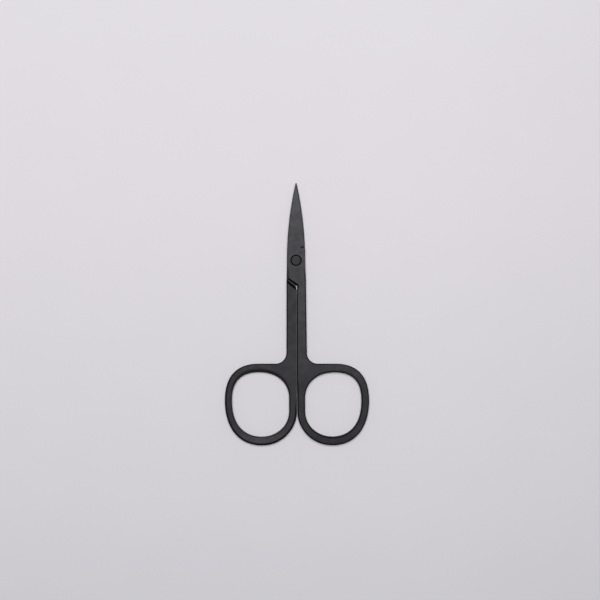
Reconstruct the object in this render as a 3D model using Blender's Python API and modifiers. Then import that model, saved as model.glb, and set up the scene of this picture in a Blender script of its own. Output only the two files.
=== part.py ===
"""Small straight nail scissors, closed: two flat halves lapped over one flush rivet.

Units are metres and +Z is up. The rivet's axis is the Z axis, the underside lies on
Z = 0 and the blades point along +Y. The front half carries the right-hand finger ring
and the upper blade, the rear half the left-hand ring and the lower blade.

Both halves are drawn in one local frame, with the lap layer and the blade on top, the
ring towards +X and the cutting edge towards +X. The rear half is then turned by half a
turn about the blades' own line, which puts its layer below and its ring on the left.
"""

import math
from dataclasses import dataclass

import bmesh
import bpy
from mathutils import Matrix, Vector

# Body of the scissors
THICKNESS = 0.0032
EDGE_ROUND = 0.0004
LAP_GAP = 0.0001
SEAM_GAP = 0.00016
SEAM_OFFSET = 0.00036

# Blades
BLADE_LENGTH = 0.0271
BLADE_HALF_WIDTH = 0.00318
TIP_HALF_WIDTH = 0.00016
TIP_THICKNESS = 0.0006
GRIND_START = 0.0044
TAPER_START = 0.0054
SPINE_CHAMFER = 0.00025
CUTTING_EDGE_INSET = 0.0001
CUTTING_EDGE_THICKNESS = 0.0002
BEVEL_WIDTH = 0.00045
NOTCH_DEPTH = 0.0016
NOTCH_WIDTH = 0.0008

# Lap round the rivet
LAP_MARGIN = 0.00002
LAP_END_DISTANCE = 0.00602
LAP_END_ANGLE = math.radians(34)
SWING_CLEARANCE = 0.00025
SHOULDER_ANGLE = math.radians(39.8)
SHOULDER_RAMP_RUN = 0.0009

# Shanks, measured from the rivet's axis to the outer side
SHANK_FLARE_LENGTH = 0.0030
FRONT_FLARE = 0.00027
FRONT_WIDENING = 0.00035
REAR_FLARE = 0.00014
REAR_WIDENING = 0.00002
RELIEF_DEPTH = 0.00048
RELIEF_LENGTH = 0.0029
FILLET_RADIUS = 0.00385

# Finger rings, measured from the seam's middle and from the ring's top edge
RING_DISTANCE = 0.03628
RING_BREADTH = 0.02526
RING_LENGTH = 0.02859
RING_TOP_WALL = 0.00306
RING_OUTER_WALL = 0.00265
RING_BOTTOM_WALL = 0.00313
RING_INNER_WALL = 0.00285
RING_RELIEF = 0.00002

# Rivet
RIVET_SHANK_RADIUS = 0.0013
RIVET_HEAD_RADIUS = 0.00168
RIVET_HEAD_THICKNESS = 0.0008
RIVET_CHAMFER = 0.00012
RIVET_CLEARANCE = 0.00005
HEAD_GROOVE = 0.00016

# Where the outline's knots lie on each ring, as shares of its breadth and length
RING_TOP_SHARE = 0.536
RING_OUTER_SHARE = 0.450
RING_BOTTOM_SHARE = 0.491
RING_SEAM_SHARE = 0.607
HOLE_TOP_SHARE = 0.530
HOLE_OUTER_SHARE = 0.439
HOLE_BOTTOM_SHARE = 0.483
HOLE_INNER_LOW_SHARE = 0.599
HOLE_INNER_HIGH_SHARE = 0.381

# Handle lengths, as shares of the way across and along between two knots
RING_TOP_OUTER_SHARES = (0.510, 0.794)
RING_OUTER_BOTTOM_SHARES = (0.613, 0.617)
RING_BOTTOM_SEAM_SHARES = (0.667, 0.412)
HOLE_TOP_OUTER_SHARES = (0.916, 0.377)
HOLE_OUTER_BOTTOM_SHARES = (0.259, 0.919)
HOLE_BOTTOM_INNER_SHARES = (0.497, 0.634)
HOLE_INNER_TOP_SHARES = (0.754, 0.384)
QUARTER_ARC_SHARE = 0.5523

# Finish and facets
STEEL_COLOR = (0.066, 0.066, 0.069, 1.0)
RIVET_COLOR = (0.052, 0.051, 0.055, 1.0)
STEEL_ROUGHNESS = 0.45
SMOOTH_ANGLE = math.radians(30)
CURVE_STEPS = 12
ROUND_STEPS = 3
BLADE_STEPS = 8
RIVET_STEPS = 40
OVERRUN = 0.001
WELD_DISTANCE = 0.000002

# Values that follow from the sizes above
INNER_FACE = (THICKNESS + LAP_GAP) / 2
LAP_HALF_WIDTH = BLADE_HALF_WIDTH + LAP_MARGIN
BLADE_FALL = THICKNESS - INNER_FACE - TIP_THICKNESS
TAPER_ANGLE = math.atan2(BLADE_FALL, BLADE_LENGTH - TAPER_START)
TIP_NARROWING = BLADE_HALF_WIDTH - TIP_HALF_WIDTH
BLADE_RADIUS = (BLADE_LENGTH**2 + TIP_NARROWING**2) / (2 * TIP_NARROWING)
LAP_SWEEP = math.hypot(LAP_HALF_WIDTH, LAP_END_DISTANCE)
RING_TOP_Y = -RING_DISTANCE
RING_BOTTOM_Y = -RING_DISTANCE - RING_LENGTH


@dataclass
class Half:
    """What sets one half apart: its name, its seam's place and its shank's sides."""

    name: str
    seam_side: int
    flare: float
    widening: float
    relief_depth: float

    @property
    def ring_axis(self):
        return self.seam_side * SEAM_OFFSET

    @property
    def seam(self):
        return self.ring_axis + SEAM_GAP / 2

    @property
    def shoulder_side(self):
        return LAP_HALF_WIDTH + self.flare

    @property
    def ring_side(self):
        return self.shoulder_side + self.widening

    @property
    def ramp_foot(self):
        """Where the shoulder's ramp starts on the outer side, clear of the swinging lap."""
        reach = LAP_SWEEP + SWING_CLEARANCE
        return -math.sqrt(reach**2 - self.shoulder_side**2)


FRONT = Half("front_half", 1, FRONT_FLARE, FRONT_WIDENING, 0.0)
REAR = Half("rear_half", -1, REAR_FLARE, REAR_WIDENING, RELIEF_DEPTH)


def lap_end(x):
    """Y of the slanted end of the lap at a given X."""
    return -LAP_END_DISTANCE - (x + LAP_HALF_WIDTH) * math.tan(LAP_END_ANGLE)


def collection(name):
    """A new collection in the scene."""
    made = bpy.data.collections.new(name)
    bpy.context.scene.collection.children.link(made)
    return made


def steel(name, color):
    """A coated steel material for one piece."""
    material = bpy.data.materials.new(name)
    material.use_nodes = True
    shader = material.node_tree.nodes["Principled BSDF"]
    shader.inputs["Base Color"].default_value = color
    shader.inputs["Metallic"].default_value = 1.0
    shader.inputs["Roughness"].default_value = STEEL_ROUGHNESS
    return material


def knot(point, back=None, ahead=None):
    """A Bezier knot with its two handles as offsets. None makes that side straight."""
    return point, back, ahead


def add_bezier(curve, knots):
    """Add one closed Bezier outline to a 2D curve."""
    spline = curve.splines.new("BEZIER")
    spline.bezier_points.add(len(knots) - 1)
    spline.use_cyclic_u = True
    for target, (point, back, ahead) in zip(spline.bezier_points, knots):
        place = Vector((*point, 0))
        target.co = place
        for side, offset in (("left", back), ("right", ahead)):
            setattr(target, f"handle_{side}_type", "FREE" if offset else "VECTOR")
            setattr(target, f"handle_{side}", place + Vector((*(offset or (0, 0)), 0)))


def add_polygon(curve, points):
    """Add one closed polygon to a 2D curve."""
    spline = curve.splines.new("POLY")
    spline.points.add(len(points) - 1)
    spline.use_cyclic_u = True
    for target, point in zip(spline.points, points):
        target.co = (*point, 0, 1)


def mesh_of_curve(name, curve, matrix, group):
    """Turn a filled curve into a welded mesh object, placed by a matrix."""
    drawn = bpy.data.objects.new(name + "_outline", curve)
    group.objects.link(drawn)
    drawn.matrix_world = matrix
    bpy.context.view_layer.update()
    evaluated = drawn.evaluated_get(bpy.context.evaluated_depsgraph_get())
    mesh = bpy.data.meshes.new_from_object(evaluated)
    mesh.name = name
    welded = bmesh.new()
    welded.from_mesh(mesh)
    bmesh.ops.remove_doubles(welded, verts=welded.verts, dist=WELD_DISTANCE)
    bmesh.ops.recalc_face_normals(welded, faces=welded.faces)
    welded.to_mesh(mesh)
    welded.free()
    solid = bpy.data.objects.new(name, mesh)
    solid.matrix_world = drawn.matrix_world
    group.objects.link(solid)
    bpy.data.objects.remove(drawn)
    return solid


def flat_curve(name, half_height, rounding=0.0):
    """A 2D curve, filled on both faces, whose rim is rounded inside its own outline."""
    curve = bpy.data.curves.new(name, "CURVE")
    curve.dimensions = "2D"
    curve.fill_mode = "BOTH"
    curve.resolution_u = CURVE_STEPS
    curve.extrude = half_height - rounding
    curve.bevel_depth = rounding
    curve.bevel_resolution = ROUND_STEPS
    curve.offset = -rounding
    return curve


def prism(name, points, low, high, group):
    """A polygon in plan, extruded from one height to another."""
    curve = flat_curve(name, (high - low) / 2)
    add_polygon(curve, points)
    return mesh_of_curve(name, curve, Matrix.Translation((0, 0, (low + high) / 2)), group)


def as_cutter(cutter):
    """Mark an object as a cutter, which isn't part of the scissors."""
    cutter.hide_render = True
    cutter.display_type = "WIRE"
    return cutter


def cut(solid, cutter):
    """Take a cutter away from a solid with a live Boolean."""
    boolean = solid.modifiers.new(cutter.name, "BOOLEAN")
    boolean.operation = "DIFFERENCE"
    boolean.solver = "EXACT"
    boolean.object = as_cutter(cutter)


def turned(name, profile, group):
    """A profile of (radius, height) points, from the top down, turned about the Z axis."""
    mesh = bpy.data.meshes.new(name)
    edges = [(index, index + 1) for index in range(len(profile) - 1)]
    mesh.from_pydata([(radius, 0, height) for radius, height in profile], edges, [])
    solid = bpy.data.objects.new(name, mesh)
    group.objects.link(solid)
    screw = solid.modifiers.new("Turn", "SCREW")
    screw.steps = RIVET_STEPS
    screw.render_steps = RIVET_STEPS
    screw.use_merge_vertices = True
    screw.merge_threshold = WELD_DISTANCE
    screw.use_smooth_shade = True
    return solid


def spun(name, profile, centre, side, start, end, group):
    """A closed (radius, height) profile swept about an upright axis left or right of the
    blades, from one Y to another. Side is +1 for an arc on the +X side."""
    radius = profile[0][0]
    first = math.asin(start / radius)
    sweep = math.asin(end / radius) - first
    swept = bmesh.new()
    corners = [swept.verts.new((side * reach, 0, height)) for reach, height in profile]
    swept.faces.new(corners)
    bmesh.ops.rotate(swept, verts=swept.verts, matrix=Matrix.Rotation(side * first, 3, "Z"))
    bmesh.ops.spin(
        swept,
        geom=swept.verts[:] + swept.edges[:] + swept.faces[:],
        angle=side * sweep,
        steps=BLADE_STEPS,
        axis=(0, 0, 1),
        cent=(0, 0, 0),
    )
    bmesh.ops.translate(swept, verts=swept.verts, vec=(centre, 0, 0))
    bmesh.ops.recalc_face_normals(swept, faces=swept.faces)
    mesh = bpy.data.meshes.new(name)
    swept.to_mesh(mesh)
    swept.free()
    solid = bpy.data.objects.new(name, mesh)
    group.objects.link(solid)
    return solid


def ring_knots(half):
    """The ring's outer side, from the seam round its bottom to its top edge."""
    low = Vector((half.seam + RING_RELIEF, RING_TOP_Y - RING_SEAM_SHARE * RING_LENGTH))
    bottom = Vector((half.ring_axis + RING_BOTTOM_SHARE * RING_BREADTH, RING_BOTTOM_Y))
    outer = Vector((half.ring_axis + RING_BREADTH, RING_TOP_Y - RING_OUTER_SHARE * RING_LENGTH))
    top = Vector((half.ring_axis + RING_TOP_SHARE * RING_BREADTH, RING_TOP_Y))
    across, along = handles(bottom, low, RING_BOTTOM_SEAM_SHARES)
    low_ahead = (0, -along)
    bottom_back = (-across, 0)
    across, along = handles(bottom, outer, RING_OUTER_BOTTOM_SHARES)
    bottom_ahead = (across, 0)
    outer_back = (0, -along)
    across, along = handles(top, outer, RING_TOP_OUTER_SHARES)
    return [
        knot(low, None, low_ahead),
        knot(bottom, bottom_back, bottom_ahead),
        knot(outer, outer_back, (0, along)),
        knot(top, (across, 0), None),
    ]


def handles(one, other, shares):
    """Lengths of the level and upright handles that round the corner between two knots."""
    across_share, along_share = shares
    return across_share * abs(other.x - one.x), along_share * abs(other.y - one.y)


def hole_knots(half):
    """The finger hole's outline, which leaves the four walls round it."""
    left = half.ring_axis + RING_INNER_WALL
    right = half.ring_axis + RING_BREADTH - RING_OUTER_WALL
    ceiling = RING_TOP_Y - RING_TOP_WALL
    floor = RING_BOTTOM_Y + RING_BOTTOM_WALL
    breadth = right - left
    length = ceiling - floor
    top = Vector((left + HOLE_TOP_SHARE * breadth, ceiling))
    outer = Vector((right, ceiling - HOLE_OUTER_SHARE * length))
    bottom = Vector((left + HOLE_BOTTOM_SHARE * breadth, floor))
    inner_low = Vector((left, ceiling - HOLE_INNER_LOW_SHARE * length))
    inner_high = Vector((left, ceiling - HOLE_INNER_HIGH_SHARE * length))
    top_out, outer_up = handles(top, outer, HOLE_TOP_OUTER_SHARES)
    bottom_out, outer_down = handles(bottom, outer, HOLE_OUTER_BOTTOM_SHARES)
    bottom_in, inner_down = handles(bottom, inner_low, HOLE_BOTTOM_INNER_SHARES)
    top_in, inner_up = handles(top, inner_high, HOLE_INNER_TOP_SHARES)
    return [
        knot(top, (-top_in, 0), (top_out, 0)),
        knot(outer, (0, outer_up), (0, -outer_down)),
        knot(bottom, (bottom_out, 0), (-bottom_in, 0)),
        knot(inner_low, (0, -inner_down), None),
        knot(inner_high, None, (0, inner_up)),
    ]


def blank_knots(half):
    """The whole outline before the seam is trimmed and the blade is ground."""
    trim_side = half.seam - OVERRUN
    trim_end = lap_end(half.seam) - OVERRUN
    fillet = QUARTER_ARC_SHARE * FILLET_RADIUS
    ring = ring_knots(half)
    seam_foot = ring[0][0].y
    return [
        knot((trim_side, seam_foot)),
        *ring,
        knot((half.ring_side + FILLET_RADIUS, RING_TOP_Y), None, (-fillet, 0)),
        knot((half.ring_side, RING_TOP_Y + FILLET_RADIUS), (0, -fillet), None),
        knot((half.shoulder_side, half.ramp_foot)),
        knot((LAP_HALF_WIDTH, half.ramp_foot + SHANK_FLARE_LENGTH)),
        knot((LAP_HALF_WIDTH, BLADE_LENGTH)),
        knot((-LAP_HALF_WIDTH, BLADE_LENGTH)),
        knot((-LAP_HALF_WIDTH, trim_end)),
        knot((trim_side, trim_end)),
    ]


def blank(half, group):
    """The half's full-thickness blank with rounded rims and its finger hole."""
    curve = flat_curve(half.name, THICKNESS / 2, EDGE_ROUND)
    add_bezier(curve, blank_knots(half))
    add_bezier(curve, hole_knots(half))
    return mesh_of_curve(half.name, curve, Matrix.Translation((0, 0, THICKNESS / 2)), group)


def seam_cutter(half, group):
    """What lies past the seam, up to the slanted end of the lap. On a half with a relief
    the slant runs on past the seam and a long wedge leads back to it."""
    inner = half.seam + half.relief_depth
    far = -LAP_HALF_WIDTH - OVERRUN
    points = [
        (half.seam, RING_BOTTOM_Y),
        (half.seam, lap_end(inner) - RELIEF_LENGTH),
        (inner, lap_end(inner)),
        (far, lap_end(far)),
        (far, RING_BOTTOM_Y),
    ]
    return prism(half.name + "_seam_cut", points, -OVERRUN, THICKNESS + OVERRUN, group)


def layer_cutter(half, group):
    """Everything under the lap and the blade, with a ramp where the shank's full
    thickness begins. The section is drawn across the ramp and extruded along it."""
    reach = BLADE_LENGTH + LAP_SWEEP + OVERRUN
    ramp_slope = SHOULDER_RAMP_RUN / INNER_FACE
    section = [
        (0, INNER_FACE),
        (-SHOULDER_RAMP_RUN - OVERRUN * ramp_slope, -OVERRUN),
        (reach, -OVERRUN),
        (reach, INNER_FACE),
    ]
    curve = flat_curve(half.name + "_layer", reach)
    add_polygon(curve, section)
    along = Vector((math.cos(SHOULDER_ANGLE), math.sin(SHOULDER_ANGLE), 0))
    across = Vector((-along.y, along.x, 0))
    up = Vector((0, 0, 1))
    foot = Vector((half.shoulder_side, half.ramp_foot, 0))
    turn = Matrix((across, up, along)).transposed().to_4x4()
    return mesh_of_curve(half.name + "_layer_cut", curve, Matrix.Translation(foot) @ turn, group)


def taper_cutter(half, group):
    """A block whose underside is the blade's falling outer face."""
    made = bmesh.new()
    reach = BLADE_LENGTH + OVERRUN
    bmesh.ops.create_cube(made, size=1)
    bmesh.ops.scale(made, verts=made.verts, vec=(reach, reach, THICKNESS))
    bmesh.ops.translate(made, verts=made.verts, vec=(0, reach / 2, THICKNESS / 2))
    bmesh.ops.transform(made, verts=made.verts, matrix=taper_matrix())
    mesh = bpy.data.meshes.new(half.name + "_taper_cut")
    made.to_mesh(mesh)
    made.free()
    block = bpy.data.objects.new(mesh.name, mesh)
    group.objects.link(block)
    return block


def taper_matrix():
    """From a frame on the blade's falling outer face to the local frame."""
    start = Matrix.Translation((0, TAPER_START, THICKNESS))
    return start @ Matrix.Rotation(-TAPER_ANGLE, 4, "X")


def spine_cutter(half, group):
    """The blade's arched back with its chamfer, which follows the falling outer face."""
    low = -THICKNESS - OVERRUN
    outside = BLADE_RADIUS + BLADE_HALF_WIDTH + OVERRUN
    profile = [
        (BLADE_RADIUS, low),
        (outside, low),
        (outside, OVERRUN),
        (BLADE_RADIUS - SPINE_CHAMFER - OVERRUN, OVERRUN),
        (BLADE_RADIUS, -SPINE_CHAMFER),
    ]
    centre = BLADE_RADIUS - BLADE_HALF_WIDTH
    name = half.name + "_spine_cut"
    cutter = spun(name, profile, centre, -1, GRIND_START, BLADE_LENGTH + OVERRUN, group)
    to_outer_face = taper_matrix() @ Matrix.Translation((0, -TAPER_START, 0))
    cutter.data.transform(to_outer_face)
    return cutter


def edge_cutter(half, group):
    """The cutting side's arc and its bevel, which leaves a thin edge at the inner face."""
    radius = BLADE_RADIUS - CUTTING_EDGE_INSET
    edge_top = INNER_FACE + CUTTING_EDGE_THICKNESS
    outside = radius + BLADE_HALF_WIDTH + OVERRUN
    run = BEVEL_WIDTH / (THICKNESS - edge_top) * (THICKNESS + OVERRUN - edge_top)
    profile = [
        (radius, edge_top),
        (radius, -OVERRUN),
        (outside, -OVERRUN),
        (outside, THICKNESS + OVERRUN),
        (radius - run, THICKNESS + OVERRUN),
    ]
    centre = BLADE_HALF_WIDTH - BLADE_RADIUS
    name = half.name + "_edge_cut"
    return spun(name, profile, centre, 1, GRIND_START, BLADE_LENGTH + OVERRUN, group)


def notch_cutter(half, group):
    """The small nick in the side where the cutting edge begins."""
    side = LAP_HALF_WIDTH
    outside = side + OVERRUN
    rise = NOTCH_WIDTH * (NOTCH_DEPTH + OVERRUN) / NOTCH_DEPTH
    points = [
        (side - NOTCH_DEPTH, GRIND_START),
        (outside, GRIND_START),
        (outside, GRIND_START + rise),
    ]
    return prism(half.name + "_notch_cut", points, -OVERRUN, THICKNESS + OVERRUN, group)


def bore_cutter(half, group):
    """The rivet's bore, with the wider seat of its head in the outer face."""
    bore = RIVET_SHANK_RADIUS + RIVET_CLEARANCE
    seat = RIVET_HEAD_RADIUS + HEAD_GROOVE
    seat_floor = THICKNESS - RIVET_HEAD_THICKNESS - RIVET_CLEARANCE
    profile = [
        (0, THICKNESS + OVERRUN),
        (seat, THICKNESS + OVERRUN),
        (seat, seat_floor),
        (bore, seat_floor),
        (bore, -OVERRUN),
        (0, -OVERRUN),
    ]
    return turned(half.name + "_bore_cut", profile, group)


CUTTERS = (
    layer_cutter,
    seam_cutter,
    taper_cutter,
    spine_cutter,
    edge_cutter,
    notch_cutter,
    bore_cutter,
)


def scissor_half(half, parts, cutters, turn=None):
    """Model one half in the local frame and place it, with its cutters, by an empty."""
    solid = blank(half, parts)
    for maker in CUTTERS:
        cut(solid, maker(half, cutters))
    if turn:
        for member in [solid, *(boolean.object for boolean in solid.modifiers)]:
            member.parent = turn
    solid.data.materials.append(steel(half.name + "_black_steel", STEEL_COLOR))
    solid.data.shade_smooth()
    solid.data.set_sharp_from_angle(angle=SMOOTH_ANGLE)
    return solid


def rivet(parts):
    """The rivet, whose two heads lie flush with the outer faces."""
    head = RIVET_HEAD_RADIUS
    shank = RIVET_SHANK_RADIUS
    upper_seat = THICKNESS - RIVET_HEAD_THICKNESS
    profile = [
        (0, THICKNESS),
        (head - RIVET_CHAMFER, THICKNESS),
        (head, THICKNESS - RIVET_CHAMFER),
        (head, upper_seat),
        (shank, upper_seat),
        (shank, RIVET_HEAD_THICKNESS),
        (head, RIVET_HEAD_THICKNESS),
        (head, RIVET_CHAMFER),
        (head - RIVET_CHAMFER, 0),
        (0, 0),
    ]
    solid = turned("pivot_rivet", profile, parts)
    solid.data.materials.append(steel("pivot_rivet_steel", RIVET_COLOR))
    return solid


def main():
    """Empty the scene and model the scissors."""
    for old in list(bpy.data.objects):
        bpy.data.objects.remove(old, do_unlink=True)
    parts = collection("nail_scissors")
    cutters = collection("cutters")
    turn = bpy.data.objects.new("rear_half_turn", None)
    turn.location = (0, 0, THICKNESS)
    turn.rotation_euler = (0, math.pi, 0)
    parts.objects.link(turn)
    scissor_half(FRONT, parts, cutters)
    scissor_half(REAR, parts, cutters, turn)
    rivet(parts)


main()
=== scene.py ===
"""Small straight nail scissors with a satin black coat, shown closed on a pale floor.

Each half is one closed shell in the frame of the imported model. Its rims are profiles
carried along the outline, the finger hole and the rivet's bore, and its faces are the
flats between them. Both halves are drawn in one local frame, with the blade on top and
the ring and the cutting edge towards +X, and the rear half is turned over in place.
Lengths are in metres.
"""

import math
from dataclasses import dataclass
from types import SimpleNamespace
from typing import NamedTuple

import bpy
import numpy as np
from bpy.props import FloatProperty, FloatVectorProperty, PointerProperty
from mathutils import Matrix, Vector
from mathutils.geometry import delaunay_2d_cdt


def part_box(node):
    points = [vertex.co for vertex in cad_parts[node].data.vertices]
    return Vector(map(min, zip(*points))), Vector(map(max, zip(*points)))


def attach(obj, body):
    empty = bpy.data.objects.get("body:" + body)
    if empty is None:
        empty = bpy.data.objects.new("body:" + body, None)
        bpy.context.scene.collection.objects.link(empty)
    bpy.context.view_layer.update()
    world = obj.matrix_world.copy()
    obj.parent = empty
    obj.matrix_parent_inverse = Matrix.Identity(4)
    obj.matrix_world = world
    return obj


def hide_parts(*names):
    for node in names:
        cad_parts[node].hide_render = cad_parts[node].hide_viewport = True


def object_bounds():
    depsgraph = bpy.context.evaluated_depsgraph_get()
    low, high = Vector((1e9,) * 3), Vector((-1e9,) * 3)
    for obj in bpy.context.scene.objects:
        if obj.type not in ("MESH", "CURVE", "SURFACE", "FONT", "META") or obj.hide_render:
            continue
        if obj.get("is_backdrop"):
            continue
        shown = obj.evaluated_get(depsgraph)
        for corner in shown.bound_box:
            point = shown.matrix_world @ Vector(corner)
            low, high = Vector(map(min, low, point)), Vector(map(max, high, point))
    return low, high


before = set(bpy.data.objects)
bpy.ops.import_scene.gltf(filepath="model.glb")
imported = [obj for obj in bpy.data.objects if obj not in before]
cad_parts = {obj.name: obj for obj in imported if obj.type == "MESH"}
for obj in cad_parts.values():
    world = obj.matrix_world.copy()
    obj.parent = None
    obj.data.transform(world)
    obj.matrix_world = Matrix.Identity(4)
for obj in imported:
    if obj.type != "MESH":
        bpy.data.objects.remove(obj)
CAD_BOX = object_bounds()
FRONT_LOW, FRONT_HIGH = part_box("front_half")
HEAD_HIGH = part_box("pivot_rivet")[1]
THICKNESS = FRONT_HIGH.z - FRONT_LOW.z

bl_info = {
    "name": "Nail scissors",
    "version": (1, 0, 0),
    "blender": (4, 5, 0),
    "location": "3D View > Sidebar > Scissors",
    "description": "Builds small black nail scissors, their coat and a plain studio",
    "category": "Add Mesh",
}

# Knots down the seam's side of a ring, round its outside and round its finger hole: the
# rim's name, how far across and down the knot lies, and how far across and along the
# handles of the corner to the next knot reach, all as shares
SEAM_KNOTS = (
    ("seam", 0, 0.135, None),
    ("seam near", 0.75, 0.34, None),
    ("seam low", 1, 0.6, (0.667, 0.405)),
)
RING_KNOTS = (
    ("ring bottom", 0.491, 1, (0.613, 0.617)),
    ("ring outer", 1, 0.45, (0.51, 0.794)),
    ("ring top", 0.536, 0, None),
)
HOLE_KNOTS = (
    ("hole top", 0.53, 0, (0.916, 0.377)),
    ("hole outer", 1, 0.439, (0.259, 0.919)),
    ("hole bottom", 0.483, 1, (0.497, 0.634)),
    ("hole inner", 0, 0.599, None),
    ("hole inner", 0, 0.381, (0.754, 0.384)),
)
QUARTER_ARC_SHARE = 0.5523

# Slants of the lap's end and of the ramp under the shoulder
LAP_END_ANGLE = math.radians(34)
RAMP_ANGLE = math.radians(39.8)

# Eased bends of the flats, and where the hollow of the inner face grows and fades along Y
RAMP_EASE_SHARE = 0.06
TAPER_EASE = 0.0006
HOLLOW_GROWS = (0.0045, 0.0085)
HOLLOW_FADES = (0.02, 0.0265)

# Radii that round the outline's corners
NICK_MOUTH_EASE = 0.00023
NICK_ROOT_EASE = 0.00002
TIP_EASE = 0.00011
SHOULDER_EASE = 0.008
RELIEF_EASE = 0.002
LAP_END_EASE = 0.0007
SEAM_CORNER_EASE = 0.0001

# Where the blade's and the shank's rims change: the Y, or how far off the place named
EDGE_FULL_FROM = 0.008
SPINE_FULL_FROM = 0.006
SPINE_FROM = 0.0015
LAP_SIDE_FROM = -0.0005
OFF_NICK = 0.0007
OFF_SLENDER_TIP = 0.0018
OFF_TIP = 0.0003
OFF_RAMP = 0.0019
OFF_SEAM_CORNER = 0.0024
NICK_RISE_SHARE = 0.85

# Radii that ease the rims of the rivet's seat and heads, and the heads' rings of points
SEAT_EASE = 0.00006
HEAD_EASE = 0.00014
HEAD_RING_SHARES = (0.25, 0.5, 0.72, 0.88)
HEAD_SUPPORT_SHARE = 1.4
ROUND_MIDDLE_SHARE = 0.3

# How finely the outlines, rims and flats are drawn
STEP = 0.00024
FINE_STEP = 0.00008
EASE_STEPS = 6
RIM_STEPS = 7
TURN_STEPS = 72
SUPPORT_SHARE = 0.22
SUPPORT_LIMITS = (0.000012, 0.00008)
RIM_CLEARANCE = 0.00016
MILLIMETRES = 1000

# Where dots lie along and across the bends of the flats: first, last and step or count
RAMP_DOTS_ALONG = (-0.006, 0.001, 0.00008)
RAMP_DOTS_ACROSS = (-2, 2, 5)
HOLLOW_DOTS_ALONG = (0.0042, 0.0266, 0.0005)
HOLLOW_DOTS_ACROSS = (-0.86, 0.86, 11)
TAPER_DOTS_ALONG = (-0.0008, 0.0008, 5)
TAPER_DOTS_ACROSS = (-0.0031, 0.0031, 32)

# The coat's tone along Y, as shares of its colour on the rings: a painted gradient of light,
# brighter towards the tips, together with the coat's own tone from place to place
FRONT_TONE_AND_LIGHT = (
    (-0.064, 0.58), (-0.06, 0.76), (-0.05, 0.8), (-0.0445, 0.8), (-0.0408, 0.97),
    (-0.038, 1.0), (-0.0355, 1.06), (-0.031, 1.05), (-0.0128, 1.31), (-0.0034, 1.32),
    (0.0034, 1.54), (0.01, 1.6), (0.0176, 1.8), (0.023, 2.15),
)
REAR_TONE_AND_LIGHT = (
    (-0.064, 1.5), (-0.0595, 1.03), (-0.0565, 0.84), (-0.05, 0.83), (-0.043, 0.79),
    (-0.0385, 0.93), (-0.035, 0.98), (-0.03, 0.92), (-0.0128, 0.88), (0.0, 1.3),
    (0.0176, 1.8), (0.023, 2.15),
)
RIVET_TONES = ((-0.002, 0.83), (0.002, 0.83))

# The coat's noises: cells per metre, detail and roughness
MOTTLE = (420, 5, 0.6)
GRAIN = (9000, 3, 0.7)
WAVES = (110, 2)
HUES = (130, 3)
SPOTS = (3400, 4, 0.7)
LINES = (1, 3, 0.65)

# How the lines are drawn out across the blades, and the heights of the unevenness
LINE_SCALES = (220, 6500, 220)
GRAIN_HEIGHT = 0.000018
LINE_HEIGHT = 0.00001
WAVE_HEIGHT = 0.000025

# The part of a noise that is used, and the tones, roughnesses and hues that it becomes
NOISE_SPAN = (0.3, 0.7)
HUE_SPAN = (0.38, 0.62)
SPOT_SPAN = (0.58, 0.72)
MOTTLE_TONES = (0.94, 1.06)
GRAIN_TONES = (0.86, 1.18)
MOTTLE_ROUGHNESS = (-0.04, 0.05)
GRAIN_ROUGHNESS = (-0.03, 0.03)
WARM_HUE = (1.0, 0.965, 0.985)
COOL_HUE = (0.955, 0.995, 0.995)

# The shades between which a rim takes its painted highlight or its painted shade, how much
# lighter the painted highlight is, how much steel shows on the handles' rims and on the
# blades', and where along Y that changes
PAINTED_HIGHLIGHT_SPAN = (-0.9, -0.05)
PAINTED_SHADE_SPAN = (0.05, 0.9)
PAINTED_HIGHLIGHT_GAIN = 4.6
WEAR_SHARES = (1.3, 0.4)
BLADE_FROM = (0.0035, 0.0075)

# The floor's tones, from the view's near end to its far end, and how they fall off to the
# right: a painted falloff of light, darker towards the near end and the right
FLOOR_REACH = 3.0
FLOOR_SPAN = (-0.1189, 0.0911)
FLOOR_LIGHT_FALLOFF_STOPS = (
    (0.0, (0.614, 0.605, 0.64)),
    (0.17, (0.655, 0.634, 0.674)),
    (0.42, (0.691, 0.671, 0.707)),
    (0.67, (0.73, 0.701, 0.745)),
    (1.0, (0.754, 0.73, 0.77)),
)
FLOOR_MOTTLE = (60, 3)
FLOOR_MOTTLE_SPAN = (0.2, 0.8)
FLOOR_MOTTLE_TONES = (0.994, 1.006)
FLOOR_SIDE_SHADE_SPAN = (0.03, 0.12)
FLOOR_SIDE_SHADE = 0.965

# The lamp, what it points at, and the way in which the backdrop grows lighter
KEY_PLACE = (-0.01, 0.145, 1.39)
KEY_AIM = (0, -0.02, 0)
BACKDROP_WAY = (0.6, 0.8, 0.0)
SKY_COLOR = (1, 0.985, 1, 1)
SENSOR_WIDTH = 36


class Rim(NamedTuple):
    """How the section's corners are finished: rounded above where straightness is 0 and
    chamfered where it is 1, and rounded below. Painted shade is how soon shade painted
    into the coat darkens it across a rim. A negative one paints a highlight on the rim."""

    top_width: float
    top_depth: float
    straightness: float
    low_reach: float
    painted_shade: float


# The last number of each rim is painted shade: the nick, the lap's end and the shoulder are painted black
# where shade falls
NICK_RIM = Rim(0.00016, 0.0005, 0.6, 0.00003, 3)
NEAR_EDGE_RIM = Rim(0.00012, 0.0004, 1, 0.00002, 0.4)
TIP_RIM = Rim(0.00007, 0.00012, 0.5, 0.00002, 0.6)
NEAR_SPINE_RIM = Rim(0.00009, 0.00009, 1, 0.00002, 0.5)
BACK_RIM = Rim(0.0004, 0.00032, 0, 0.00005, 0.9)
LAP_END_RIM = Rim(0.00058, 0.0012, 0.8, 0.00005, 6)
LAP_RIM = Rim(0.00024, 0.00024, 0, 0.00005, 1.5)
SHOULDER_RIM = Rim(0.00052, 0.0004, 0, 0.0001, 6)
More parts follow.
